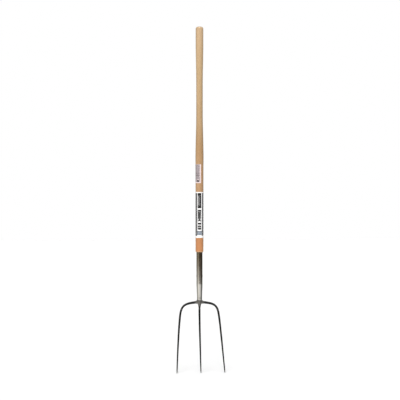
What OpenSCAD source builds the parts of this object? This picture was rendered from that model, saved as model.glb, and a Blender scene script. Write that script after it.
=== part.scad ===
// Three-tine hay fork: a turned wooden handle, a steel ferrule and a forged, arched head.
// The head hangs down -Z and the tines sweep forward, towards -Y.
// Heights inside the modules are measured from the bottom rim of the ferrule, in millimetres.
// The finished fork is placed with its origin on the handle's axis, where the straight grip
// meets the dome.

/* [Handle] */
// Length of the handle, with the part inside the ferrule
handle_len = 1219; // [1000:1:1500]
// Radius of the straight grip at the top
grip_r = 17.6; // [16:0.1:19]
// Length of the straight grip
grip_len = 65; // [20:1:90]
// Height of the dome that ends the grip
dome_h = 12; // [8:0.5:16]
// Radius of the thin waist
waist_r = 15; // [14.5:0.1:17]
// Length of the even stretch of the waist
waist_len = 125; // [40:1:180]
// Radius of the swell under the waist
swell_r = 18.6; // [18.2:0.1:20]
// Radius of the lower shaft
shaft_r = 18.1; // [17:0.1:19]

/* [Ferrule] */
// Length of the ferrule
ferrule_len = 220; // [180:1:240]
// Outer radius of the ferrule's straight part
ferrule_r = 14; // [13.5:0.1:15.5]
// Outer radius of the ferrule at the head
ferrule_neck_r = 12; // [11.5:0.1:13]
// Wall thickness
ferrule_wall = 1.5; // [1.2:0.1:2]
// Height over which the ferrule draws in
ferrule_draw = 75; // [60:1:90]

/* [Head] */
// Distance from the centre line to an outer shoulder
shoulder_x = 89.6; // [80:0.1:100]
// Drop from the ferrule to the foot of a shoulder's bend
shoulder_drop = 72; // [66:1:80]
// Distance from the centre line to an outer tip
tip_x = 109; // [100:1:125]
// Drop from the ferrule to the tips
tip_drop = 324; // [300:1:350]
// How far the tips stand forward
tip_forward = 70; // [0:1:90]
// Width of a tine at its root, seen from the front
tine_w = 9.5; // [8:0.1:10]
// Depth of a tine as a share of its width
tine_depth_ratio = 1.25; // [1:0.05:1.4]
// Height of a yoke arm beside the boss
arm_h = 12.4; // [9:0.1:13]
// Radius of the boss under the ferrule
boss_r = 13.6; // [13:0.1:15]

/* [Fixings] */
// Radius of the tang
tang_r = 5; // [4:0.1:6]
// Length of the tang
tang_len = 165; // [120:1:200]
// Radius of the rivet's shank
rivet_r = 2.5; // [2:0.1:3]
// Height of the rivet above the ferrule's bottom rim
rivet_z = 110; // [90:1:115]

/* [Labels] */
// Length of the main label
main_label_len = 210; // [150:1:240]
// Angle that the main label wraps round the shaft
main_label_wrap = 330; // [180:1:340]
// Length of the care label
care_label_len = 86; // [60:1:110]
// Angle that the care label wraps round the shaft
care_label_wrap = 121; // [60:1:180]

/* [Hidden] */
$fn = 64;

ash = [0.82, 0.68, 0.50];
bright_steel = [0.72, 0.72, 0.70];
black_lacquer = [0.10, 0.10, 0.11];
forged_grey = [0.36, 0.36, 0.35];
weld_grey = [0.55, 0.55, 0.54];
label_white = [0.93, 0.93, 0.92];
label_lavender = [0.78, 0.74, 0.78];

// Gap between two pieces that touch without an interference fit.
fit_gap = 0.05;

// Heights along the handle, from the ferrule's bottom rim.
handle_bottom_z = 38;
handle_top_z = handle_bottom_z + handle_len;
grip_top_z = handle_top_z - dome_h;
grip_bottom_z = grip_top_z - grip_len;
grip_flare_len = 195;
waist_top_z = grip_bottom_z - grip_flare_len;
waist_bottom_z = waist_top_z - waist_len;
swell_rise_len = 212;
swell_z = waist_bottom_z - swell_rise_len;
swell_fall_len = 62;
shaft_top_z = swell_z - swell_fall_len;
shoulder_round = 2.5;
dome_power = 0.77;

// Ferrule.
ferrule_base = 4;
ferrule_foot = 12;
ferrule_lip = 0.5;

// Tang and rivet.
tang_point_len = 18;
tang_point_r = 2.5;
tang_bore_extra = 3;
rivet_head_r = 4;
rivet_head_h = 0.8;
rivet_crown = 0.6;
rivet_hole_len = 3 * ferrule_r;

// Yoke.
crown_z = -9.1;
crown_reach_x = 66;
crown_reach_z = -16;
shoulder_lean = 7.1;
shoulder_top_z = -18;
boss_top_z = -0.1;
boss_rim = 5;
boss_bevel = 1.4;
neck_r = 4.6;
neck_end_z = -42;
arm_depth = 12;
web_grow = 4;
web_reach = 12;

// Welds sit across the path: on the outer arms at this share of the arm's bend.
weld_share = 0.78;
weld_half = 0.014;
weld_gap = 0.0005;
weld_bulge = 0.55;
weld_len = 3.2;

// Tines.
tine_bend_x = 7.8;
tine_bend_z = 60;
forward_start_z = -60;
forward_power = 1.3;
tine_taper = 0.45;
taper_power = 1.5;
point_share = 1.9;
point_len = 13;
point_r = 0.55;
bar_sides = 16;

// Labels.
label_film = 0.2;
main_label_z = 286;
care_label_z = 537;
care_label_turn = 166;
label_step = 10;

// ---- Profiles ----

function ease(t) = let(u = min(1, max(0, t))) u * u * (3 - 2 * u);
function blend(from, to, t) = from + (to - from) * ease(t);

// Handle radius at a height on or above the ferrule's top rim, below the dome.
function handle_r(z) =
    z >= waist_bottom_z
        ? blend(waist_r, grip_r, (z - waist_top_z) / (grip_bottom_z - waist_top_z))
        : z >= swell_z
            ? blend(swell_r, waist_r, (z - swell_z) / (waist_bottom_z - swell_z))
            : blend(shaft_r, swell_r, (z - shaft_top_z) / (swell_z - shaft_top_z));

// Ferrule outer radius: straight above, drawn in towards the head.
function ferrule_outer(z) =
    blend(ferrule_neck_r, ferrule_r, (z - ferrule_foot) / (ferrule_draw - ferrule_foot));
function ferrule_inner(z) = ferrule_outer(z) - ferrule_wall;

// Even steps from one value to another, with the first value or after it.
function steps(from, to, count) = [for (i = [0:count]) from + (to - from) * i / count];
function steps_after(from, to, count) = [for (i = [1:count]) from + (to - from) * i / count];

// ---- Paths of the head ----

function cubic(a, b, c, d, t) =
    a * pow(1 - t, 3) + b * 3 * t * pow(1 - t, 2) + c * 3 * t * t * (1 - t) + d * pow(t, 3);
function quadratic(a, b, c, t) = a * pow(1 - t, 2) + b * 2 * t * (1 - t) + c * t * t;

// Forward sweep of a tine at a height.
function forward(z) =
    -tip_forward * pow(max(0, (forward_start_z - z) / (forward_start_z + tip_drop)), forward_power);

// Point on the right outer line: share 0 to 1 is the arm, 1 to 2 is the tine.
function outer_flat(share) =
    share <= 1
        ? cubic([0, crown_z], [crown_reach_x, crown_reach_z],
                [shoulder_x - shoulder_lean, shoulder_top_z], [shoulder_x, -shoulder_drop], share)
        : quadratic([shoulder_x, -shoulder_drop],
                    [shoulder_x + tine_bend_x, -shoulder_drop - tine_bend_z],
                    [tip_x, -tip_drop], share - 1);
function outer_point(share) = let(p = outer_flat(share)) [p[0], forward(p[1]), p[1]];
function centre_point(z) = [0, forward(z), z];

// Half width of a tine, by its height: a taper that quickens downwards, then a short point.
function tine_half_w(z) =
    let(down = max(0, (neck_end_z - z) / (neck_end_z + tip_drop)),
        body = tine_w / 2 * (1 - tine_taper * pow(down, taper_power)),
        to_tip = (z + tip_drop) / point_len)
    to_tip >= 1 ? body : point_r + (body - point_r) * sqrt(max(0, to_tip));

// Half height and half depth of the yoke's arm, by its distance from the centre line.
function web(x) = web_grow * exp(-pow(x / web_reach, 2));
function arm_half_h(x) = blend(arm_h / 2, tine_w / 2, x / shoulder_x) + web(x);
function arm_half_d(x) =
    blend(arm_depth / 2, tine_w / 2 * tine_depth_ratio, x / shoulder_x) + web(x);

// ---- Swept bars ----

function unit(v) = v / norm(v);
function tangent(path, i) =
    unit(path[min(i + 1, len(path) - 1)] - path[max(i - 1, 0)]);

// One oval ring across the path, wide in the plane of the head and deep along Y.
function ring(centre, along, half_w, half_d) =
    let(side = unit(cross([0, 1, 0], along)), deep = cross(along, side))
    [for (k = [0:bar_sides - 1])
        let(a = 360 * k / bar_sides)
        centre + side * half_w * cos(a) + deep * half_d * sin(a)];

// Closed bar through the path; sizes holds [half width, half depth] for each point.
module bar(path, sizes) {
    last = len(path) - 1;
    rings = [for (i = [0:last]) each ring(path[i], tangent(path, i), sizes[i][0], sizes[i][1])];
    sides = [for (i = [0:last - 1], k = [0:bar_sides - 1])
        let(a = i * bar_sides + k, b = i * bar_sides + (k + 1) % bar_sides)
        each [[a, a + bar_sides, b], [b, a + bar_sides, b + bar_sides]]];
    caps = [[for (k = [0:bar_sides - 1]) k],
            [for (k = [bar_sides - 1:-1:0]) last * bar_sides + k]];
    polyhedron(rings, concat(sides, caps), convexity = 4);
}

module tine(path) {
    bar(path, [for (p = path) let(w = tine_half_w(p[2])) [w, w * tine_depth_ratio]]);
}

// ---- Handle and ferrule ----

module handle() {
    shoulder_z = ferrule_len + fit_gap;
    chuck = [for (z = steps(handle_bottom_z, ferrule_draw, 6)) [ferrule_inner(z) - fit_gap, z]];
    shoulder_r = handle_r(shoulder_z) - shoulder_round;
    shoulder = [for (a = steps(-90, 0, 5))
        [shoulder_r + shoulder_round * cos(a), shoulder_z + shoulder_round * (1 + sin(a))]];
    heights = concat(steps(shaft_top_z, swell_z, 8), steps_after(swell_z, waist_bottom_z, 14),
                     steps(waist_top_z, grip_bottom_z, 13));
    shaft = [for (z = heights) [handle_r(z), z]];
    dome = [for (a = steps(0, 90, 9))
        [grip_r * pow(cos(a), dome_power), grip_top_z + dome_h * pow(sin(a), dome_power)]];
    color(ash)
    difference() {
        rotate_extrude()
        polygon(concat([[0, handle_bottom_z]], chuck, [[ferrule_inner(ferrule_len) - fit_gap,
                shoulder_z]], shoulder, shaft, dome));
        translate([0, 0, handle_bottom_z - 1])
        cylinder(r = tang_r + fit_gap, h = tang_len + tang_bore_extra + 1 - handle_bottom_z);
        rivet_hole();
    }
}

module rivet_hole() {
    translate([0, 0, rivet_z])
    rotate([0, 90, 0])
    cylinder(r = rivet_r + fit_gap, h = rivet_hole_len, center = true);
}

module ferrule() {
    draw = steps(ferrule_foot, ferrule_draw, 8);
    outside = concat([[ferrule_neck_r, 0]], [for (z = draw) [ferrule_outer(z), z]],
                     [[ferrule_r, ferrule_len - ferrule_lip],
                      [ferrule_r - ferrule_lip, ferrule_len]]);
    inside = concat([[ferrule_inner(ferrule_len), ferrule_len]],
                    [for (i = [len(draw) - 1:-1:0]) [ferrule_inner(draw[i]), draw[i]]],
                    [[ferrule_inner(0), ferrule_base], [0, ferrule_base]]);
    color(bright_steel)
    difference() {
        rotate_extrude()
        polygon(concat([[0, 0]], outside, inside));
        translate([0, 0, -1])
        cylinder(r = tang_r + fit_gap, h = ferrule_base + 2);
        rivet_hole();
    }
}

module tang() {
    color(forged_grey)
    difference() {
        union() {
            cylinder(r = tang_r, h = tang_len - tang_point_len);
            translate([0, 0, tang_len - tang_point_len])
            cylinder(r1 = tang_r, r2 = tang_point_r, h = tang_point_len);
        }
        rivet_hole();
    }
}

module ferrule_rivet() {
    half_shank = ferrule_r + fit_gap;
    color(bright_steel)
    translate([0, 0, rivet_z])
    rotate([0, 90, 0]) {
        cylinder(r = rivet_r, h = 2 * half_shank, center = true);
        for (end = [0, 180])
        rotate([0, end, 0])
        translate([0, 0, half_shank])
        cylinder(r1 = rivet_head_r, r2 = rivet_head_r * rivet_crown, h = rivet_head_h);
    }
}

// ---- Head ----

module yoke() {
    arm = steps(0, weld_share - weld_half, 20);
    right = [for (s = arm) outer_point(s)];
    left = [for (i = [len(right) - 1:-1:1]) [-right[i][0], right[i][1], right[i][2]]];
    arch = concat(left, right);
    boss = [for (t = steps(0, 1, 12))
        let(z = -boss_rim + (neck_end_z + boss_rim) * t)
        [neck_r + (boss_r - neck_r) * pow(1 - t, 2), z]];
    color(forged_grey)
    union() {
        bar(arch, [for (p = arch) [arm_half_h(abs(p[0])), arm_half_d(abs(p[0]))]]);
        rotate_extrude()
        polygon(concat([[0, boss_top_z], [boss_r - boss_bevel, boss_top_z],
                        [boss_r, boss_top_z - boss_bevel]], boss, [[0, neck_end_z]]));
    }
}

// Weld bead: a short barrel across a bar, swollen at its middle.
module weld(path) {
    last = len(path) - 1;
    bar(path, [for (i = [0:last])
        let(w = tine_w / 2 + weld_bulge * sin(180 * i / last))
        [w, w * tine_depth_ratio]]);
}

module tine_welds() {
    reach = weld_half - weld_gap;
    shoulder = [for (s = steps(weld_share - reach, weld_share + reach, 6)) outer_point(s)];
    color(weld_grey) {
        for (side = [0, 1])
        mirror([side, 0, 0])
        weld(shoulder);
        weld([for (z = steps(neck_end_z - fit_gap, neck_end_z - weld_len, 6)) centre_point(z)]);
    }
}

module right_tine() {
    shares = concat(steps(weld_share + weld_half, 1, 7), steps_after(1, point_share, 16),
                    steps_after(point_share, 2, 6));
    color(black_lacquer)
    tine([for (s = shares) outer_point(s)]);
}

module left_tine() {
    mirror([1, 0, 0])
    right_tine();
}

module centre_tine() {
    top_z = neck_end_z - weld_len - fit_gap;
    point_z = point_len - tip_drop;
    heights = concat(steps(top_z, point_z, 20), steps_after(point_z, -tip_drop, 6));
    color(black_lacquer)
    tine([for (z = heights) centre_point(z)]);
}

// ---- Labels ----

// Film stuck on the shaft, from height z up, wrapped from the given turn about Z.
module label(z, length, turn, wrap) {
    heights = steps(z, z + length, round(length / label_step));
    inner = [for (h = heights) [handle_r(h) + fit_gap, h]];
    outer = [for (i = [len(heights) - 1:-1:0])
        [handle_r(heights[i]) + fit_gap + label_film, heights[i]]];
    rotate([0, 0, turn])
    rotate_extrude(angle = wrap)
    polygon(concat(inner, outer));
}

module main_label() {
    seam = (360 - main_label_wrap) / 2;
    color(label_white)
    label(main_label_z, main_label_len, 90 + seam, main_label_wrap);
}

module care_label() {
    color(label_lavender)
    label(care_label_z, care_label_len, care_label_turn, care_label_wrap);
}

// ---- Assembly ----

module placed() {
    translate([0, 0, -grip_top_z])
    children();
}

placed() handle();
placed() ferrule();
placed() tang();
placed() ferrule_rivet();
placed() yoke();
placed() tine_welds();
placed() left_tine();
placed() centre_tine();
placed() right_tine();
placed() main_label();
placed() care_label();
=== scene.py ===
"""Looks of a three-tine hay fork: finer meshes, materials, a pale studio and the camera.

Everything is in metres in the fork's own frame: +Z up the handle, the tines curve towards -Y,
and the origin is where the straight grip meets the dome.
"""

import math

import bpy
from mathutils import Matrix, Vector, noise


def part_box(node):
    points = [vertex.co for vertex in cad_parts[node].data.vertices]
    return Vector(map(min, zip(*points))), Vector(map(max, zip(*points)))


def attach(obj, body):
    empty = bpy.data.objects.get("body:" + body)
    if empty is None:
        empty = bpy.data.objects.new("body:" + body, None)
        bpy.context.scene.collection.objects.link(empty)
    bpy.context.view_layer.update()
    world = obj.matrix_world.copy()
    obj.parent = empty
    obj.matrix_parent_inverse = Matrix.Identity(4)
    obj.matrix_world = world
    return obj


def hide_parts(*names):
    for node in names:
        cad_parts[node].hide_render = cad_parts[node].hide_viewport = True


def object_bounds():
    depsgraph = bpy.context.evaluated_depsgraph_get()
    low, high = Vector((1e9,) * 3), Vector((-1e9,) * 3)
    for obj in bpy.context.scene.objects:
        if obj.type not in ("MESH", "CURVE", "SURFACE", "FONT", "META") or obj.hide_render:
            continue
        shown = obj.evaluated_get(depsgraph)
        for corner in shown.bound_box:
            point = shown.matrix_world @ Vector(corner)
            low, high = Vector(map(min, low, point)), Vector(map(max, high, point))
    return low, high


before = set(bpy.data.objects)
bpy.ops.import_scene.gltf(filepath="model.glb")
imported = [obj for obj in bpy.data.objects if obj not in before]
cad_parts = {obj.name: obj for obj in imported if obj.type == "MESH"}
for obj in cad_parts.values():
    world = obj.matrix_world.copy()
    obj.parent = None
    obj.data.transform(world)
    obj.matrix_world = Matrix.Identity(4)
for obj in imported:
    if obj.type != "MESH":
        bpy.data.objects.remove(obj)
cad_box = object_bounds()

MM = 0.001

# ---- Places, from the frame ----

HEAD_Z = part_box("ferrule")[0].z
FERRULE_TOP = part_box("ferrule")[1].z
HANDLE_LOW, HANDLE_HIGH = (corner.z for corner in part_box("handle"))
LABEL_LOW, LABEL_HIGH = (corner.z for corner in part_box("main_label"))
CARE_LOW, CARE_HIGH = (corner.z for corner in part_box("care_label"))
TIP_Z = cad_box[0].z
TANG_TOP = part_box("tang")[1].z
RIVET_Z = (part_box("ferrule_rivet")[0].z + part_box("ferrule_rivet")[1].z) / 2

# ---- Sizes, as the design has them ----

GRIP_R, WAIST_R, SWELL_R, SHAFT_R = 17.6 * MM, 15.0 * MM, 18.6 * MM, 18.1 * MM
GRIP_LEN, GRIP_FLARE, WAIST_LEN = 65 * MM, 195 * MM, 125 * MM
SWELL_RISE, SWELL_FALL = 212 * MM, 62 * MM
GRIP_LOW = -GRIP_LEN
WAIST_HIGH = GRIP_LOW - GRIP_FLARE
WAIST_LOW = WAIST_HIGH - WAIST_LEN
SWELL_Z = WAIST_LOW - SWELL_RISE
SHAFT_HIGH = SWELL_Z - SWELL_FALL
DOME_POWER = 0.77
SHOULDER_ROUND = 2.5 * MM
FIT = 0.05 * MM

FERRULE_R, FERRULE_NECK_R, FERRULE_WALL = 14 * MM, 12 * MM, 1.5 * MM
FERRULE_FOOT, FERRULE_DRAW, FERRULE_BASE = 12 * MM, 75 * MM, 4 * MM
FERRULE_LIP = 0.5 * MM
TANG_R, RIVET_R = 5 * MM, 2.5 * MM
RIVET_HEAD_R, RIVET_HEAD_H, RIVET_EDGE = 4 * MM, 0.8 * MM, 0.25

SHOULDER_X, SHOULDER_DROP, SHOULDER_LEAN = 89.6 * MM, 72 * MM, 7.1 * MM
CROWN_DROP, CROWN_X, CROWN_Z, SHOULDER_TOP = 9.1 * MM, 66 * MM, 16 * MM, 18 * MM
TIP_X, TIP_FORWARD, TIP_DROP = 109 * MM, 70 * MM, 324 * MM
BEND_X, BEND_Z = 7.8 * MM, 60 * MM
FORWARD_START, FORWARD_POWER = 60 * MM, 1.3
TINE_HALF, TINE_DEPTH = 4.75 * MM, 1.25
TINE_TAPER, TAPER_POWER, POINT_LEN, POINT_R = 0.45, 1.5, 13 * MM, 0.55 * MM
ARM_HALF_H, ARM_HALF_D, WEB_GROW, WEB_REACH = 6.2 * MM, 6 * MM, 4 * MM, 12 * MM
BOSS_R, NECK_R, NECK_END, BOSS_RIM = 13.6 * MM, 4.6 * MM, 42 * MM, 5 * MM
BOSS_TOP, BOSS_BEVEL = 0.1 * MM, 1.4 * MM
WELD_SHARE, WELD_HALF, WELD_LEN = 0.78, 0.014, 3.2 * MM
WELD_GAP, WELD_BULGE = 0.0005, 0.45 * MM
POINT_SHARE = 1.9
TIP_THIN = 0.88

LABEL_FILM = 0.2 * MM
INK_SUNK, INK_PROUD = 0.02 * MM, 0.03 * MM
LABEL_WRAP = 330
CARE_FROM, CARE_TO = 166, 287
FRONT = 270


def ease(t):
    t = min(1.0, max(0.0, t))
    return t * t * (3 - 2 * t)


def between(a, b, t):
    return a + (b - a) * ease(t)


def steps(start, end, count):
    return [start + (end - start) * i / count for i in range(count + 1)]


# ---- Meshes ----


def piece(name, mesh, materials, nodes=(), sharp=40):
    """A finished piece: smooth faces, sharp edges, materials, body and CAD nodes."""
    obj = bpy.data.objects.new(name, mesh)
    bpy.context.scene.collection.objects.link(obj)
    for polygon in mesh.polygons:
        polygon.use_smooth = True
    mesh.set_sharp_from_angle(angle=math.radians(sharp))
    for material in materials:
        mesh.materials.append(material)
    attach(obj, "root")
    if nodes:
        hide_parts(*nodes)
    return obj


def skin(rows):
    """Vertices and faces of a closed tube through rows of points, with a fan at each end."""
    count = len(rows[0])
    points = [tuple(p) for row in rows for p in row]
    faces = []
    for i in range(len(rows) - 1):
        for k in range(count):
            a, b = i * count + k, i * count + (k + 1) % count
            faces.append((a, b, b + count, a + count))
    for row, index, flip in ((rows[0], 0, True), (rows[-1], len(rows) - 1, False)):
        centre = sum((Vector(p) for p in row), Vector()) / count
        points.append(tuple(centre))
        hub = len(points) - 1
        for k in range(count):
            a, b = index * count + k, index * count + (k + 1) % count
            faces.append((b, a, hub) if flip else (a, b, hub))
    return points, faces


def mesh_of(name, parts):
    """One mesh from several (points, faces, material index) parts."""
    points, faces, inks = [], [], []
    for part_points, part_faces, ink in parts:
        start = len(points)
        points += part_points
        faces += [tuple(v + start for v in face) for face in part_faces]
        inks += [ink] * len(part_faces)
    mesh = bpy.data.meshes.new(name)
    mesh.from_pydata(points, [], faces)
    mesh.polygons.foreach_set("material_index", inks)
    mesh.validate()
    mesh.update()
    return mesh


def turned(profile, count, shift=None):
    """A turned body about Z through (radius, height) points; shift(angle, z) moves its skin."""
    rows = []
    for radius, z in profile:
        row = []
        for k in range(count):
            angle = 2 * math.pi * k / count
            r = radius + (shift(angle, z) if shift else 0)
            row.append((r * math.cos(angle), r * math.sin(angle), z))
        rows.append(row)
    return skin(rows)


def along(path, i):
    return (path[min(i + 1, len(path) - 1)] - path[max(i - 1, 0)]).normalized()


def bar(path, size, count, shift=None):
    """An oval bar through path. size(i) gives its half width and half depth, and shift(point)
    moves its skin."""
    rows = []
    for i, centre in enumerate(path):
        way = along(path, i)
        side = Vector((0, 1, 0)).cross(way).normalized()
        deep = way.cross(side)
        half_w, half_d = size(i)
        row = []
        for k in range(count):
            angle = 2 * math.pi * k / count
            arm = side * (half_w * math.cos(angle)) + deep * (half_d * math.sin(angle))
            if shift:
                arm *= 1 + shift(centre + arm) / arm.length
            row.append(centre + arm)
        rows.append(row)
    return skin(rows)


def mirrored(part):
    points, faces, ink = part
    return [(-x, y, z) for x, y, z in points], [tuple(reversed(f)) for f in faces], ink


def lumps(point, size, grain, seed=0.0):
    """Smooth unevenness from -size to size, with features about grain metres long."""
    return size * noise.noise(Vector(point) / grain + Vector((seed, 0, 0)))


# ---- The head's lines ----


def outer_point(share):
    """On the right outer line: share 0 to 1 is the yoke's arm, 1 to 2 is the tine."""
    if share <= 1:
        t, s = share, 1 - share
        x = 3 * s * s * t * CROWN_X
        x += 3 * s * t * t * (SHOULDER_X - SHOULDER_LEAN) + t ** 3 * SHOULDER_X
        drop = s ** 3 * CROWN_DROP + 3 * s * s * t * CROWN_Z
        drop += 3 * s * t * t * SHOULDER_TOP + t ** 3 * SHOULDER_DROP
    else:
        t, s = share - 1, 2 - share
        x = s * s * SHOULDER_X + 2 * s * t * (SHOULDER_X + BEND_X) + t * t * TIP_X
        drop = s * s * SHOULDER_DROP + 2 * s * t * (SHOULDER_DROP + BEND_Z) + t * t * TIP_DROP
    return Vector((x, forward(drop), HEAD_Z - drop))


def forward(drop):
    reach = max(0.0, (drop - FORWARD_START) / (TIP_DROP - FORWARD_START))
    return -TIP_FORWARD * reach ** FORWARD_POWER


def centre_point(drop):
    return Vector((0, forward(drop), HEAD_Z - drop))


def tine_half(z):
    drop = HEAD_Z - z
    down = max(0.0, (drop - NECK_END) / (TIP_DROP - NECK_END))
    body = TINE_HALF * (1 - TINE_TAPER * down ** TAPER_POWER)
    to_tip = (TIP_DROP - drop) / POINT_LEN
    return body if to_tip >= 1 else POINT_R + (body - POINT_R) * math.sqrt(max(0.0, to_tip))


# ---- Node helpers ----


def node(tree, kind, inputs=None, **settings):
    """A shader node with its settings; an input given as a socket is linked."""
    made = tree.nodes.new("ShaderNode" + kind)
    for key, value in settings.items():
        setattr(made, key, value)
    for key, value in (inputs or {}).items():
        if isinstance(value, bpy.types.NodeSocket):
            tree.links.new(value, made.inputs[key])
        else:
            made.inputs[key].default_value = value
    return made


def place(tree, scale=(1, 1, 1), turn=(0, 0, 0), shift=(0, 0, 0)):
    coord = node(tree, "TexCoord")
    return node(tree, "Mapping", {"Vector": coord.outputs["Object"], "Scale": scale,
                                  "Rotation": turn, "Location": shift}).outputs[0]


def speckle(tree, scale, detail=3.0, rough=0.5, **where):
    """Noise from 0 to 1; scale holds features per metre along X, Y and Z."""
    return node(tree, "TexNoise", {"Vector": place(tree, scale, **where), "Scale": 1.0,
                                   "Detail": detail, "Roughness": rough}).outputs["Fac"]


def span(tree, value, low, high, to_low=0.0, to_high=1.0):
    """value mapped from low..high to to_low..to_high, smooth and held at the ends."""
    return node(tree, "MapRange", {"Value": value, "From Min": low, "From Max": high,
                                   "To Min": to_low, "To Max": to_high},
                interpolation_type="SMOOTHSTEP").outputs[0]


def maths(tree, operation, a, b=0.0):
    return node(tree, "Math", {0: a, 1: b}, operation=operation).outputs[0]


def mixed(tree, factor, a, b, blend="MIX"):
    made = tree.nodes.new("ShaderNodeMix")
    made.data_type = "RGBA"
    made.blend_type = blend
    for index, value in ((0, factor), (6, a), (7, b)):
        if isinstance(value, bpy.types.NodeSocket):
            tree.links.new(value, made.inputs[index])
        else:
            made.inputs[index].default_value = value
    return made.outputs[2]


def tone(red, green, blue):
    return (red, green, blue, 1.0)


def ramp(tree, value, stops):
    made = node(tree, "ValToRGB", {"Fac": value})
    marks = made.color_ramp.elements
    while len(marks) < len(stops):
        marks.new(0.5)
    for mark, (position, colour) in zip(marks, stops):
        mark.position = position
        mark.color = colour
    return made.outputs["Color"]


def height_in(tree, axis="Z"):
    coord = node(tree, "TexCoord")
    return node(tree, "SeparateXYZ", {0: coord.outputs["Object"]}).outputs[axis]


def bump(tree, height, depth, strength=1.0):
    return node(tree, "Bump", {"Height": height, "Distance": depth,
                               "Strength": strength}).outputs[0]


def material(name, **constants):
    """An empty Principled material; constants go on the shader's own sockets."""
    made = bpy.data.materials.new(name)
    made.use_nodes = True
    shader = made.node_tree.nodes["Principled BSDF"]
    for key, value in constants.items():
        shader.inputs[key.replace("_", " ")].default_value = value
    return made, made.node_tree, shader


def finish_with(tree, shader, **links):
    for key, socket in links.items():
        tree.links.new(socket, shader.inputs[key.replace("_", " ")])


# ---- Materials ----


def ash_wood():
    made, tree, shader = material("ash_wood", Coat_Weight=0.25, Coat_Roughness=0.28)
    z = height_in(tree)
    height = maths(tree, "DIVIDE", maths(tree, "SUBTRACT", z, FERRULE_TOP),
                   HANDLE_HIGH - FERRULE_TOP)
    body = ramp(tree, height, [
        (0.0, tone(0.55, 0.225, 0.085)), (0.07, tone(0.53, 0.24, 0.10)),
        (0.27, tone(0.46, 0.275, 0.145)), (0.43, tone(0.43, 0.26, 0.125)),
        (0.56, tone(0.49, 0.335, 0.18)), (0.80, tone(0.56, 0.40, 0.22)),
        (1.0, tone(0.59, 0.42, 0.25))])
    rings = node(tree, "TexWave", {
        "Vector": place(tree, (1, 1, 0.05), turn=(0.012, 0.02, 0), shift=(0.07, 0.03, 0)),
        "Scale": 120.0, "Distortion": 2.2, "Detail": 2.0, "Detail Scale": 0.35},
        wave_type="RINGS", rings_direction="Z").outputs["Fac"]
    late = span(tree, rings, 0.55, 0.98)
    fibre = speckle(tree, (900, 900, 9), detail=4)
    pores = span(tree, speckle(tree, (2600, 2600, 45), detail=1), 0.60, 0.72)
    patches = speckle(tree, (22, 22, 5), detail=2)
    grained = mixed(tree, maths(tree, "MULTIPLY", late, 0.34), body, tone(0.36, 0.19, 0.09))
    streaked = mixed(tree, maths(tree, "MULTIPLY", fibre, 0.55), grained,
                     mixed(tree, 1.0, grained, tone(0.74, 0.70, 0.66), "MULTIPLY"))
    flecked = mixed(tree, maths(tree, "MULTIPLY", pores, 0.38), streaked, tone(0.27, 0.15, 0.08))
    clouded = mixed(tree, span(tree, patches, 0.35, 0.7, 0.0, 0.22), flecked,
                    tone(0.70, 0.50, 0.31))
    end_rings = node(tree, "TexWave", {
        "Vector": place(tree, shift=(0.07, 0.03, 0)), "Scale": 150.0, "Distortion": 0.8},
        wave_type="RINGS", rings_direction="Z").outputs["Fac"]
    end = mixed(tree, end_rings, tone(0.30, 0.23, 0.16), tone(0.40, 0.32, 0.24))
    on_end = span(tree, z, HANDLE_HIGH - 6 * MM, HANDLE_HIGH - 0.5 * MM)
    on_shoulder = span(tree, z, FERRULE_TOP + 5 * MM, FERRULE_TOP + 2 * MM, 0.0, 0.8)
    ended = mixed(tree, on_end, clouded, end)
    colour = mixed(tree, on_shoulder, ended, tone(0.50, 0.33, 0.19))
    rough = span(tree, fibre, 0.3, 0.7, 0.36, 0.50)
    relief = maths(tree, "ADD", fibre, maths(tree, "MULTIPLY", pores, -0.8))
    finish_with(tree, shader, Base_Color=colour, Roughness=rough,
                Normal=bump(tree, relief, 0.12 * MM, 0.6))
    return made


def bright_steel():
    made, tree, shader = material("bright_steel", Metallic=1.0)
    z = height_in(tree)
    # drawn is the mask of a painted reflection: the steel's colour turns warmer up the tube to
    # stand in for the ash handle mirrored in its top.
    drawn = span(tree, z, HEAD_Z + 40 * MM, FERRULE_TOP)
    base = mixed(tree, drawn, tone(0.72, 0.71, 0.68), tone(0.66, 0.60, 0.52))
    lines = speckle(tree, (1500, 1500, 30), detail=4)
    smears = speckle(tree, (70, 70, 26), detail=3)
    marked = mixed(tree, span(tree, smears, 0.45, 0.75, 0.0, 0.25), base, tone(0.50, 0.47, 0.43))
    rough = maths(tree, "ADD", span(tree, smears, 0.3, 0.8, 0.06, 0.10),
                  maths(tree, "MULTIPLY", lines, 0.03))
    finish_with(tree, shader, Base_Color=marked, Roughness=rough,
                Normal=bump(tree, lines, 0.01 * MM, 0.4))
    return made


def forged_steel():
    """Black over forged scale, worn to grey steel round the boss."""
    made, tree, shader = material("forged_steel", Specular_IOR_Level=0.25)
    across = node(tree, "Math", {0: height_in(tree, "X")}, operation="ABSOLUTE").outputs[0]
    scale_marks = speckle(tree, (420, 420, 420), detail=5, rough=0.62)
    patches = speckle(tree, (90, 90, 90), detail=3)
    near = span(tree, across, 9 * MM, 26 * MM, 1.0, 0.0)
    high = span(tree, height_in(tree), HEAD_Z - 36 * MM, HEAD_Z - 14 * MM, 0.0, 1.0)
    bare = maths(tree, "MULTIPLY", maths(tree, "MULTIPLY", near, high),
                 span(tree, patches, 0.25, 0.50))
    black = mixed(tree, scale_marks, tone(0.006, 0.006, 0.006), tone(0.020, 0.020, 0.020))
    grey = mixed(tree, scale_marks, tone(0.13, 0.125, 0.115), tone(0.26, 0.25, 0.235))
    finish_with(tree, shader, Base_Color=mixed(tree, bare, black, grey),
                Metallic=maths(tree, "MULTIPLY", bare, 0.7),
                Roughness=span(tree, scale_marks, 0.3, 0.7, 0.34, 0.58),
                Normal=bump(tree, maths(tree, "ADD", scale_marks, patches), 0.25 * MM, 0.5))
    return made


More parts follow.
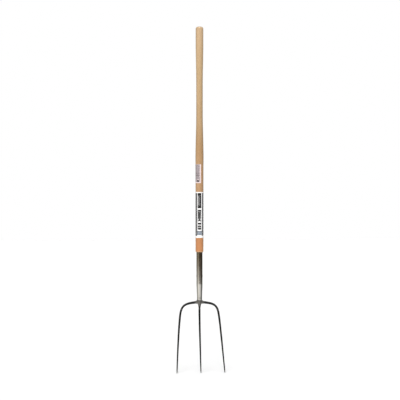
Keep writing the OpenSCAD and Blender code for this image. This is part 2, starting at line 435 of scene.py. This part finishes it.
def black_lacquer():
    """Gloss black on the tines, rubbed through towards the points."""
    made, tree, shader = material("black_lacquer", Specular_IOR_Level=0.25)
    z = height_in(tree)
    runs = speckle(tree, (260, 260, 60), detail=4)
    scratches = span(tree, speckle(tree, (1400, 1400, 70), detail=2), 0.62, 0.70)
    wear = span(tree, z, TIP_Z + 34 * MM, TIP_Z + 2 * MM)
    rubbed = span(tree, maths(tree, "ADD", maths(tree, "MULTIPLY", wear, 0.40), runs), 0.72, 0.90)
    worn = maths(tree, "MAXIMUM", rubbed, maths(tree, "MULTIPLY", scratches, 0.12))
    paint = mixed(tree, runs, tone(0.004, 0.004, 0.004), tone(0.010, 0.010, 0.011))
    finish_with(tree, shader, Base_Color=mixed(tree, worn, paint, tone(0.13, 0.125, 0.12)),
                Metallic=maths(tree, "MULTIPLY", worn, 0.8),
                Roughness=span(tree, runs, 0.3, 0.7, 0.30, 0.46),
                Normal=bump(tree, runs, 0.15 * MM, 0.5))
    return made


def weld_metal():
    """Steel beads under black, bare on the highest ripples."""
    made, tree, shader = material("weld_metal", Specular_IOR_Level=0.3)
    ripples = speckle(tree, (700, 700, 700), detail=4)
    bare = span(tree, ripples, 0.50, 0.68)
    colour = mixed(tree, bare, tone(0.014, 0.014, 0.014), tone(0.30, 0.29, 0.28))
    finish_with(tree, shader, Base_Color=colour, Metallic=maths(tree, "MULTIPLY", bare, 0.8),
                Roughness=span(tree, ripples, 0.3, 0.7, 0.28, 0.48),
                Normal=bump(tree, ripples, 0.15 * MM, 0.6))
    return made


def plain_steel():
    made, tree, shader = material("plain_steel", Metallic=1.0)
    drawn = speckle(tree, (900, 900, 40), detail=3)
    finish_with(tree, shader,
                Base_Color=mixed(tree, drawn, tone(0.42, 0.41, 0.39), tone(0.58, 0.57, 0.55)),
                Roughness=span(tree, drawn, 0.3, 0.7, 0.30, 0.45))
    return made


def print_film(name, light, dark, rough):
    """Printed film: a faint mottle in the ink and a slightly uneven gloss."""
    made, tree, shader = material(name, Coat_Weight=0.2, Coat_Roughness=0.15)
    mottle = speckle(tree, (1800, 1800, 1800), detail=2)
    finish_with(tree, shader, Base_Color=mixed(tree, mottle, tone(*light), tone(*dark)),
                Roughness=span(tree, mottle, 0.3, 0.7, rough - 0.04, rough + 0.05),
                Normal=bump(tree, speckle(tree, (160, 160, 160)), 0.05 * MM, 0.3))
    return made


# ---- Handle ----


def handle_r(z):
    if z >= WAIST_LOW:
        return between(WAIST_R, GRIP_R, (z - WAIST_HIGH) / (GRIP_LOW - WAIST_HIGH))
    if z >= SWELL_Z:
        return between(SWELL_R, WAIST_R, (z - SWELL_Z) / (WAIST_LOW - SWELL_Z))
    return between(SHAFT_R, SWELL_R, (z - SHAFT_HIGH) / (SWELL_Z - SHAFT_HIGH))


def ferrule_r(z):
    return between(FERRULE_NECK_R, FERRULE_R,
                   (z - HEAD_Z - FERRULE_FOOT) / (FERRULE_DRAW - FERRULE_FOOT))


def make_handle(wood):
    shoulder_z = FERRULE_TOP + FIT
    bore_r, bore_top = TANG_R + FIT, TANG_TOP + 3 * MM
    profile = [(bore_r, bore_top), (bore_r, HANDLE_LOW)]
    profile += [(ferrule_r(z) - FERRULE_WALL - FIT, z)
                for z in steps(HANDLE_LOW, HEAD_Z + FERRULE_DRAW, 12)]
    profile.append((FERRULE_R - FERRULE_WALL - FIT, shoulder_z))
    inner = handle_r(shoulder_z) - SHOULDER_ROUND
    profile += [(inner + SHOULDER_ROUND * math.cos(a),
                 shoulder_z + SHOULDER_ROUND * (1 + math.sin(a)))
                for a in steps(-math.pi / 2, 0, 8)]
    profile += [(handle_r(z), z) for z in steps(shoulder_z + 5 * MM, 0, 340)]
    profile += [(GRIP_R * math.cos(a) ** DOME_POWER, HANDLE_HIGH * math.sin(a) ** DOME_POWER)
                for a in steps(0.04, math.pi / 2 - 0.02, 22)]

    def turning(angle, z):
        point = (math.cos(angle) * 0.02, math.sin(angle) * 0.02, z)
        exposed = ease((z - shoulder_z) / (10 * MM)) * ease((HANDLE_HIGH - z) / (4 * MM))
        return exposed * (lumps(point, 0.10 * MM, 0.05) - 0.10 * MM)

    part = turned(profile, 96, turning)
    return piece("ash_handle", mesh_of("ash_handle", [(*part, 0)]), [wood],
                 ["handle"], sharp=50)


# ---- Ferrule and rivet ----


def make_ferrule(steel):
    lip, bevel = FERRULE_LIP, 0.3 * MM
    outside = [(FERRULE_NECK_R - bevel, HEAD_Z), (FERRULE_NECK_R, HEAD_Z + bevel)]
    outside += [(ferrule_r(z), z) for z in steps(HEAD_Z + FERRULE_BASE, FERRULE_TOP - lip, 90)]
    outside += [(FERRULE_R - lip * (1 - math.cos(a)), FERRULE_TOP - lip * (1 - math.sin(a)))
                for a in steps(0.3, math.pi / 2, 4)]
    inside = [(ferrule_r(z) - FERRULE_WALL, z)
              for z in steps(FERRULE_TOP, HEAD_Z + FERRULE_BASE, 24)]
    hole = [(TANG_R + FIT, HEAD_Z + FERRULE_BASE), (TANG_R + FIT, HEAD_Z)]
    back = math.pi / 2

    def seam(angle, z):
        """A low ground seam down the back of the tube, and the tube's slight unevenness."""
        off = (angle - back) * FERRULE_R / (0.7 * MM)
        point = (math.cos(angle) * FERRULE_R, math.sin(angle) * FERRULE_R, z)
        return 0.10 * MM * math.exp(-off * off) + lumps(point, 0.02 * MM, 0.03)

    count = 192
    rings = outside + inside + hole
    points = []
    for i, (radius, z) in enumerate(rings):
        for k in range(count):
            angle = 2 * math.pi * k / count
            r = radius + (seam(angle, z) if i < len(outside) else 0)
            points.append((r * math.cos(angle), r * math.sin(angle), z))
    faces = []
    for i in range(len(rings)):
        j = (i + 1) % len(rings)
        for k in range(count):
            m = (k + 1) % count
            faces.append((i * count + k, i * count + m, j * count + m, j * count + k))
    piece("steel_ferrule", mesh_of("steel_ferrule", [(points, faces, 0)]), [steel],
          ["ferrule"], sharp=50)


def make_rivet(steel):
    """Two low domed heads on a shank along X."""
    reach = FERRULE_R + FIT
    half = [(RIVET_R, 0.0), (RIVET_R, reach), (RIVET_HEAD_R, reach)]
    half += [(RIVET_HEAD_R * math.cos(a),
              reach + RIVET_HEAD_H * (RIVET_EDGE + (1 - RIVET_EDGE) * math.sin(a)))
             for a in steps(0.0, math.pi / 2 - 0.05, 8)]
    rows = [(r, -x) for r, x in reversed(half)] + half[1:]
    points, faces = turned(rows, 40)
    points = [(z, y, RIVET_Z - x) for x, y, z in points]
    piece("rivet", mesh_of("rivet", [(points, faces, 0)]), [steel],
          ["ferrule_rivet"])


# ---- Head ----


def web(x):
    return WEB_GROW * math.exp(-(x / WEB_REACH) ** 2)


def make_yoke(steel):
    """The arch and the boss, melted into one forging with soft fillets."""
    right = [outer_point(s) for s in steps(0, WELD_SHARE - WELD_HALF, 70)]
    arch = [Vector((-p.x, p.y, p.z)) for p in reversed(right[1:])] + right

    def size(i):
        x = abs(arch[i].x)
        half_h = between(ARM_HALF_H, TINE_HALF, x / SHOULDER_X) + web(x)
        return half_h, between(ARM_HALF_D, TINE_HALF * TINE_DEPTH, x / SHOULDER_X) + web(x)

    boss = [(0.0, HEAD_Z - BOSS_TOP), (BOSS_R - BOSS_BEVEL, HEAD_Z - BOSS_TOP),
            (BOSS_R, HEAD_Z - BOSS_TOP - BOSS_BEVEL)]
    boss += [(NECK_R + (BOSS_R - NECK_R) * (1 - t) ** 2,
              HEAD_Z - BOSS_RIM - (NECK_END - BOSS_RIM) * t) for t in steps(0, 1, 24)]
    boss.append((0.0, HEAD_Z - NECK_END))
    points, faces = turned(list(reversed(boss)), 64)
    rough = bpy.data.objects.new("rough_yoke", mesh_of("rough_yoke", [
        (*bar(arch, size, 32), 0), (points, faces, 0)]))
    bpy.context.scene.collection.objects.link(rough)
    melt = rough.modifiers.new("melt", "REMESH")
    melt.mode = "VOXEL"
    melt.voxel_size = 0.7 * MM
    soften = rough.modifiers.new("soften", "SMOOTH")
    soften.iterations = 10
    soften.factor = 0.5
    evaluated = rough.evaluated_get(bpy.context.evaluated_depsgraph_get())
    mesh = bpy.data.meshes.new_from_object(evaluated)
    mesh.name = "forged_yoke"
    bpy.data.objects.remove(rough)
    mesh.materials.clear()
    for vertex in mesh.vertices:
        dent = lumps(vertex.co, 0.16 * MM, 0.007) + lumps(vertex.co, 0.07 * MM, 0.0025, 5.0)
        vertex.co += vertex.normal * (dent - 0.12 * MM)
    piece("forged_yoke", mesh, [steel], ["yoke"], sharp=60)


def hammered(seed):
    """Long soft flats left by forging."""
    return lambda p: lumps((p.x, p.y, p.z * 0.35), 0.14 * MM, 0.006, seed) - 0.03 * MM


def make_tines(lacquer):
    shares = steps(WELD_SHARE + WELD_HALF, 1, 30) + steps(1.01, POINT_SHARE, 90)
    shares += steps(POINT_SHARE + 0.005, 2, 24)
    outer = [outer_point(s) for s in shares]
    top = NECK_END + WELD_LEN + FIT
    centre = [centre_point(d) for d in steps(top, TIP_DROP - POINT_LEN, 110)]
    centre += [centre_point(d) for d in steps(TIP_DROP - POINT_LEN + MM, TIP_DROP, 24)]

    def tine(path, seed):
        def size(i):
            half = tine_half(path[i].z)
            thin = between(TIP_THIN, 0.99, (path[i].z - TIP_Z) / POINT_LEN)
            return half, half * TINE_DEPTH * thin

        def shift(p):
            return hammered(seed)(p) * ease((p.z - TIP_Z) / (20 * MM))
        return bar(path, size, 28, shift)

    rides = (("left", mirrored((*tine(outer, 3.0), 0))), ("centre", (*tine(centre, 7.0), 0)),
             ("right", (*tine(outer, 11.0), 0)))
    for side, part in rides:
        points = [tuple(p) for p in part[0]]
        piece(side + "_point", mesh_of(side + "_point", [(points, part[1], 0)]), [lacquer],
              [side + "_tine"], sharp=60)


def make_welds(metal):
    """A narrow rippled bead round each joint."""
    def bead(path):
        last = len(path) - 1

        def size(i):
            half = TINE_HALF + WELD_BULGE * math.sin(math.pi * i / last)
            return half, half * TINE_DEPTH
        return bar(path, size, 48, lambda p: lumps(p, 0.14 * MM, 0.0016) - 0.05 * MM)

    reach = WELD_HALF - WELD_GAP
    shoulder = [outer_point(s) for s in steps(WELD_SHARE - reach, WELD_SHARE + reach, 12)]
    neck = [centre_point(d) for d in steps(NECK_END + FIT, NECK_END + WELD_LEN, 12)]
    points, faces = bead(shoulder)
    points = [tuple(p) for p in points]
    neck_points, neck_faces = bead(neck)
    parts = [(points, faces, 0), mirrored((points, faces, 0)),
             ([tuple(p) for p in neck_points], neck_faces, 0)]
    piece("weld_beads", mesh_of("weld_beads", parts), [metal], ["tine_welds"],
          sharp=60)


# ---- Labels ----


def slab(u0, u1, low, high, inner, outer, centre, step=1.5 * MM, rows=1):
    """A closed curved slab on the shaft. u is the arc from the turn centre (degrees) and low(u)
    and high(u) bound its height; inner(z) and outer(z) give its radii."""
    columns = max(1, round((u1 - u0) / step))
    points = []
    for u in steps(u0, u1, columns):
        for t in steps(0.0, 1.0, rows):
            z = low(u) + (high(u) - low(u)) * t
            for radius in (inner(z), outer(z)):
                angle = math.radians(centre) + u / SHAFT_R
                points.append((radius * math.cos(angle), radius * math.sin(angle), z))
    tall = (rows + 1) * 2

    def at(column, row, side):
        return column * tall + row * 2 + side

    faces = []
    for c in range(columns):
        for r in range(rows):
            faces.append((at(c, r, 1), at(c + 1, r, 1), at(c + 1, r + 1, 1), at(c, r + 1, 1)))
            faces.append((at(c, r, 0), at(c, r + 1, 0), at(c + 1, r + 1, 0), at(c + 1, r, 0)))
        faces.append((at(c, 0, 0), at(c + 1, 0, 0), at(c + 1, 0, 1), at(c, 0, 1)))
        faces.append((at(c, rows, 1), at(c + 1, rows, 1), at(c + 1, rows, 0), at(c, rows, 0)))
    for r in range(rows):
        faces.append((at(0, r, 0), at(0, r, 1), at(0, r + 1, 1), at(0, r + 1, 0)))
        faces.append((at(columns, r, 1), at(columns, r, 0), at(columns, r + 1, 0),
                      at(columns, r + 1, 1)))
    return points, faces


def film(low, high, turn_from, turn_to):
    """The bare film between two heights and two turns, following the handle."""
    centre = (turn_from + turn_to) / 2
    half = math.radians(turn_to - turn_from) / 2 * SHAFT_R
    rows = max(1, round((high - low) / (4 * MM)))
    return slab(-half, half, lambda u: low, lambda u: high, lambda z: handle_r(z) + FIT,
                lambda z: handle_r(z) + FIT + LABEL_FILM, centre, rows=rows)


def inked(u0, u1, low, high, centre, step=1.5 * MM, rows=1):
    """A printed shape just proud of the film; low and high are heights or functions of u."""
    def rule(value):
        return value if callable(value) else lambda u: value

    def skin_r(z):
        return handle_r(z) + FIT + LABEL_FILM
    return slab(u0, u1, rule(low), rule(high), lambda z: skin_r(z) - INK_SUNK,
                lambda z: skin_r(z) + INK_PROUD, centre, step=step, rows=rows)


BLACK, GREY, BLUE, MID = 0, 1, 2, 3


def main_print():
    """Generic print for the main label: a dark framed panel over a ladder of bold bars and a plain
    block, with a field of fine lines down each side and framed tables towards the back."""
    parts = []
    turn = FRONT + CAMERA_TURN
    top = LABEL_HIGH / MM
    half = 8.0

    def add(ink, u0, u1, down, tall, rows=1):
        """down is measured from the label's top edge."""
        high = top - down
        u0, u1 = sorted((u0, u1))
        parts.append((*inked(u0 * MM, u1 * MM, (high - tall) * MM, high * MM, turn, rows=rows),
                      ink))

    ends, end_tall = (4.7, 62.8), 12.0
    spine, spine_down, spine_tall = 1.95, 16.6, 46.3
    for down in ends:
        add(BLACK, -half, half, down, end_tall)
    add(BLACK, spine, half - 0.05, spine_down, spine_tall, 8)
    for i, down in enumerate(steps(16.9, 60.1, 15)):
        dark = 1.6 + 1.4 * (i % 4) if i % 3 else 0.6
        add(BLACK, -half, -half + dark, down + 0.2, 2.2)
        add(MID, -half + dark + 0.05, 1.9, down, 2.6)

    rail_down, rail_tall = 81.0, 7.4
    rung_down, rung_pitch, rung_tall, rung_short, rungs = 89.2, 4.25, 4.0, 1.6, 8
    add(BLACK, -half, half, rail_down, rail_tall)
    for i in range(rungs):
        add(BLACK, -half, half - rung_short * (i % 2), rung_down + rung_pitch * i, rung_tall)

    square_half, square_down, square_tall, ear, ear_down = 3.6, 123.4, 10.6, 4.4, 126.0
    add(BLACK, -square_half, square_half, square_down, square_tall)
    for side in (-1, 1):
        add(MID, side * ear, side * half, ear_down, square_tall)
    for down, tall in ((140.6, 8.0), (150.6, 2.4), (154.8, 7.6), (164.2, 8.4)):
        add(BLACK, -half, half, down, tall)

    block_left, block_right, edge_down, block_down = -10.3, 11.3, 178.2, 180.0
    add(BLUE, block_left, block_right, block_down, 17.8, 4)
    add(MID, block_left + 0.1, block_right - 0.1, edge_down, 1.75)

    line_down, line_pitch, line_tall, lines = 4.2, 3.08, 2.8, 64
    for side, near, far in ((-1, 10.4, 28.4), (1, 11.4, 24.0)):
        for i in range(lines):
            short = 1.6 * ((i * 5) % 4) if i % 9 == 0 else 0.0
            add(GREY, side * near, side * (far - short), line_down + line_pitch * i, line_tall)

    table_down, table_pitch, tables = 8.0, 27.5, 7
    for i in range(tables):
        add_table(add, table_down + table_pitch * i, i)
    return parts


def add_table(add, down, number):
    """A framed table of short lines on each side of the label's back."""
    border, post_down, post_tall = 0.5, 3.0, 22.0
    for post in (31.5, 47.5, -47.5, -32.5):
        add(BLACK, post - border, post + border, down + post_down, post_tall, 2)
    for side in (-1, 1):
        for edge in (3.1, 23.9):
            add(BLACK, side * 32.2, side * 47.2, down + edge, 2 * border)
        for line in range(5):
            length = 46.0 - 2.2 * ((line * 3 + number) % 4)
            add(GREY, side * 34.0, side * length, down + 6.0 + 3.4 * line, 1.4)


def care_print():
    """Generic print for the care label: rows of fine lines, a clear margin and a plain dot."""
    parts = []
    centre = (CARE_FROM + CARE_TO) / 2
    half = math.radians(CARE_TO - CARE_FROM) / 2 * SHAFT_R / MM
    top, low = CARE_HIGH / MM, CARE_LOW / MM

    def add(ink, u0, u1, z0, z1):
        parts.append((*inked(u0 * MM, u1 * MM, z0 * MM, z1 * MM, centre), ink))

    pitch, tall, lines, first_short = 2.75, 2.05, 29, 25
    for i in range(lines):
        z = top - 1.0 - pitch * i
        ink = BLACK if i in (14, 18) else GREY
        clear = 5.0 + 0.9 * (i % 3) if i < first_short else 20.5
        add(ink, -half + 1.5, half - clear, z - tall, z)
    for i in range(5):
        z = low + 4.4 + 3.4 * i
        add(GREY, half - 8.6, half - 4.0, z, z + 1.8)
    add_dot(parts, half - 14.5, low + 9.5, 5.6, centre)
    return parts


def add_dot(parts, u, z, radius, centre):
    """A filled disc; its place and radius are in millimetres."""
    def rise(at):
        off = (at / MM - u) / radius
        return (radius * math.sqrt(max(0.0, 1 - off * off)) + 0.05) * MM
    dot = inked((u - radius) * MM, (u + radius) * MM, lambda at: z * MM - rise(at),
                lambda at: z * MM + rise(at), centre, step=0.5 * MM, rows=2)
    parts.append((*dot, BLACK))


def make_labels():
    white = print_film("label_white", (0.90, 0.89, 0.88), (0.84, 0.83, 0.82), 0.34)
    black = print_film("ink_black", (0.010, 0.010, 0.011), (0.022, 0.022, 0.023), 0.36)
    grey = print_film("ink_grey", (0.095, 0.095, 0.097), (0.07, 0.07, 0.072), 0.38)
    blue = print_film("ink_blue", (0.26, 0.29, 0.33), (0.22, 0.25, 0.29), 0.36)
    mid = print_film("ink_mid", (0.085, 0.085, 0.087), (0.065, 0.065, 0.067), 0.38)
    lilac = print_film("care_paper", (0.76, 0.62, 0.61), (0.70, 0.58, 0.58), 0.36)
    soft_grey = print_film("ink_soft", (0.21, 0.19, 0.205), (0.17, 0.155, 0.17), 0.38)
    seam = (360 - LABEL_WRAP) / 2
    sheet = film(LABEL_LOW, LABEL_HIGH, 90 + seam, 450 - seam)
    piece("label_sheet", mesh_of("label_sheet", [(*sheet, 0)]), [white],
          ["main_label"])
    piece("label_print", mesh_of("label_print", main_print()), [black, grey, blue, mid])
    care = film(CARE_LOW, CARE_HIGH, CARE_FROM, CARE_TO)
    piece("care_sheet", mesh_of("care_sheet", [(*care, 0)]), [lilac],
          ["care_label"])
    piece("care_print", mesh_of("care_print", care_print()), [black, soft_grey])


# ---- Tang ----


def coat_tang(steel):
    """The tang is carried over from the CAD and only gets a material."""
    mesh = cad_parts["tang"].data
    mesh.materials.clear()
    mesh.materials.append(steel)


# ---- Studio ----

CAMERA_TURN = -5.5
FRAME_WIDTH = 1.84
LENS, SENSOR = 85.0, 36.0
AIM_LOWER, AIM_RIGHT = 7 * MM, 2.3 * MM


def make_camera():
    """Level with the middle of the fork, a little to its left."""
    low, high = cad_box
    turn = math.radians(CAMERA_TURN)
    distance = FRAME_WIDTH / 2 / (SENSOR / 2 / LENS)
    right = Vector((math.cos(turn), math.sin(turn), 0))
    back = Vector((math.sin(turn), -math.cos(turn), 0))
    data = bpy.data.cameras.new("camera")
    data.lens, data.sensor_width = LENS, SENSOR
    data.clip_end = 60
    camera = bpy.data.objects.new("camera", data)
    target = Vector((0, 0, (low.z + high.z) / 2 - AIM_LOWER)) + right * AIM_RIGHT
    camera.location = target + back * distance
    camera.rotation_mode = "QUATERNION"
    camera.rotation_quaternion = (-back).to_track_quat("-Z", "Y")
    bpy.context.scene.collection.objects.link(camera)
    bpy.context.scene.camera = camera


def make_floor():
    """A pale floor that reaches far behind the fork and stops short of the camera."""
    near, far, side = -3.3, 14.0, 12.0
    z = TIP_Z - 0.5 * MM
    corners = [(-side, near, z), (side, near, z), (side, far, z), (-side, far, z)]
    mesh = bpy.data.meshes.new("floor")
    mesh.from_pydata(corners, [], [(0, 1, 2, 3)])
    floor = bpy.data.objects.new("floor", mesh)
    bpy.context.scene.collection.objects.link(floor)
    made, tree, shader = material("pale_floor", Roughness=0.9, Specular_IOR_Level=0.1)
    shader.inputs["Base Color"].default_value = tone(0.80, 0.80, 0.80)
    floor.data.materials.append(made)
    floor.visible_glossy = False


def make_sun(name, energy, azimuth, elevation, spread, glossy):
    data = bpy.data.lights.new(name, "SUN")
    data.energy = energy
    data.angle = math.radians(spread)
    sun = bpy.data.objects.new(name, data)
    a, e = math.radians(azimuth), math.radians(elevation)
    back = Vector((math.sin(a) * math.cos(e), -math.cos(a) * math.cos(e), math.sin(e)))
    sun.rotation_mode = "QUATERNION"
    sun.rotation_quaternion = back.to_track_quat("Z", "Y")
    sun.visible_glossy = glossy
    bpy.context.scene.collection.objects.link(sun)


def around(tree, stops):
    """Colour by the direction round Z: stops hold degrees to the right of the camera, and a
    colour."""
    coord = node(tree, "TexCoord")
    turned_way = node(tree, "VectorRotate", {
        "Vector": coord.outputs["Generated"], "Angle": math.radians(-CAMERA_TURN)},
        rotation_type="Z_AXIS").outputs[0]
    axes = node(tree, "SeparateXYZ", {0: turned_way})
    front = maths(tree, "MULTIPLY", axes.outputs["Y"], -1.0)
    angle = maths(tree, "ARCTAN2", axes.outputs["X"], front)
    share = node(tree, "MapRange", {"Value": angle, "From Min": -math.pi,
                                    "From Max": math.pi}).outputs[0]
    return ramp(tree, share, [((degrees + 180) / 360, tone(*colour)) for degrees, colour in stops])


def make_world():
    """White to the camera, an even soft fill, and for the metal to mirror a dim room with one
    light side, over a bright sweep that the drawn-in end of the ferrule looks down on."""
    world = bpy.data.worlds.new("studio")
    bpy.context.scene.world = world
    world.use_nodes = True
    tree = world.node_tree
    tree.nodes.clear()
    path = node(tree, "LightPath")
    axes = node(tree, "SeparateXYZ", {0: node(tree, "TexCoord").outputs["Generated"]})
    room = around(tree, [
        (-180, (0.24, 0.23, 0.21)), (-150, (0.07, 0.06, 0.045)), (-115, (0.08, 0.065, 0.04)),
        (-80, (0.165, 0.130, 0.070)), (-34, (0.17, 0.135, 0.078)), (-14, (0.048, 0.034, 0.014)),
        (30, (0.058, 0.041, 0.020)), (75, (0.022, 0.015, 0.008)), (120, (0.030, 0.025, 0.02)),
        (143, (0.62, 0.61, 0.59)), (160, (0.20, 0.19, 0.17)), (180, (0.24, 0.23, 0.21))])
    sweep = around(tree, [
        (-180, (0.60, 0.60, 0.58)), (-95, (0.46, 0.45, 0.42)), (-65, (0.50, 0.49, 0.46)),
        (-45, (1.10, 1.06, 0.98)), (0, (0.88, 0.86, 0.83)), (45, (0.66, 0.65, 0.63)),
        (70, (0.20, 0.195, 0.19)), (110, (0.14, 0.135, 0.13)), (180, (0.60, 0.60, 0.58))])
    left = maths(tree, "MINIMUM", axes.outputs["X"], 0.0)
    level = maths(tree, "ADD", axes.outputs["Z"], maths(tree, "MULTIPLY", left, 0.025))
    room = mixed(tree, span(tree, level, -0.072, -0.120), room, sweep)
    room = mixed(tree, span(tree, axes.outputs["Z"], 0.60, 0.95), room, tone(0.4, 0.4, 0.4))
    fill = mixed(tree, path.outputs["Is Glossy Ray"], tone(0.26, 0.26, 0.26), room)
    colour = mixed(tree, path.outputs["Is Camera Ray"], fill, tone(1.0, 1.0, 1.0))
    backdrop = node(tree, "Background", {"Color": colour, "Strength": 1.0})
    output = node(tree, "OutputWorld")
    tree.links.new(backdrop.outputs[0], output.inputs["Surface"])


make_camera()
make_floor()
make_world()
make_sun("top_light", energy=1.8, azimuth=-25, elevation=78, spread=40, glossy=True)
make_sun("front_light", energy=2.5, azimuth=-15, elevation=22, spread=35, glossy=False)
make_sun("back_light", energy=1.1, azimuth=165, elevation=35, spread=60, glossy=False)
bpy.context.scene.view_settings.view_transform = "Standard"

steel = bright_steel()
make_handle(ash_wood())
make_ferrule(steel)
make_rivet(steel)
make_yoke(forged_steel())
make_tines(black_lacquer())
make_welds(weld_metal())
make_labels()
coat_tang(plain_steel())
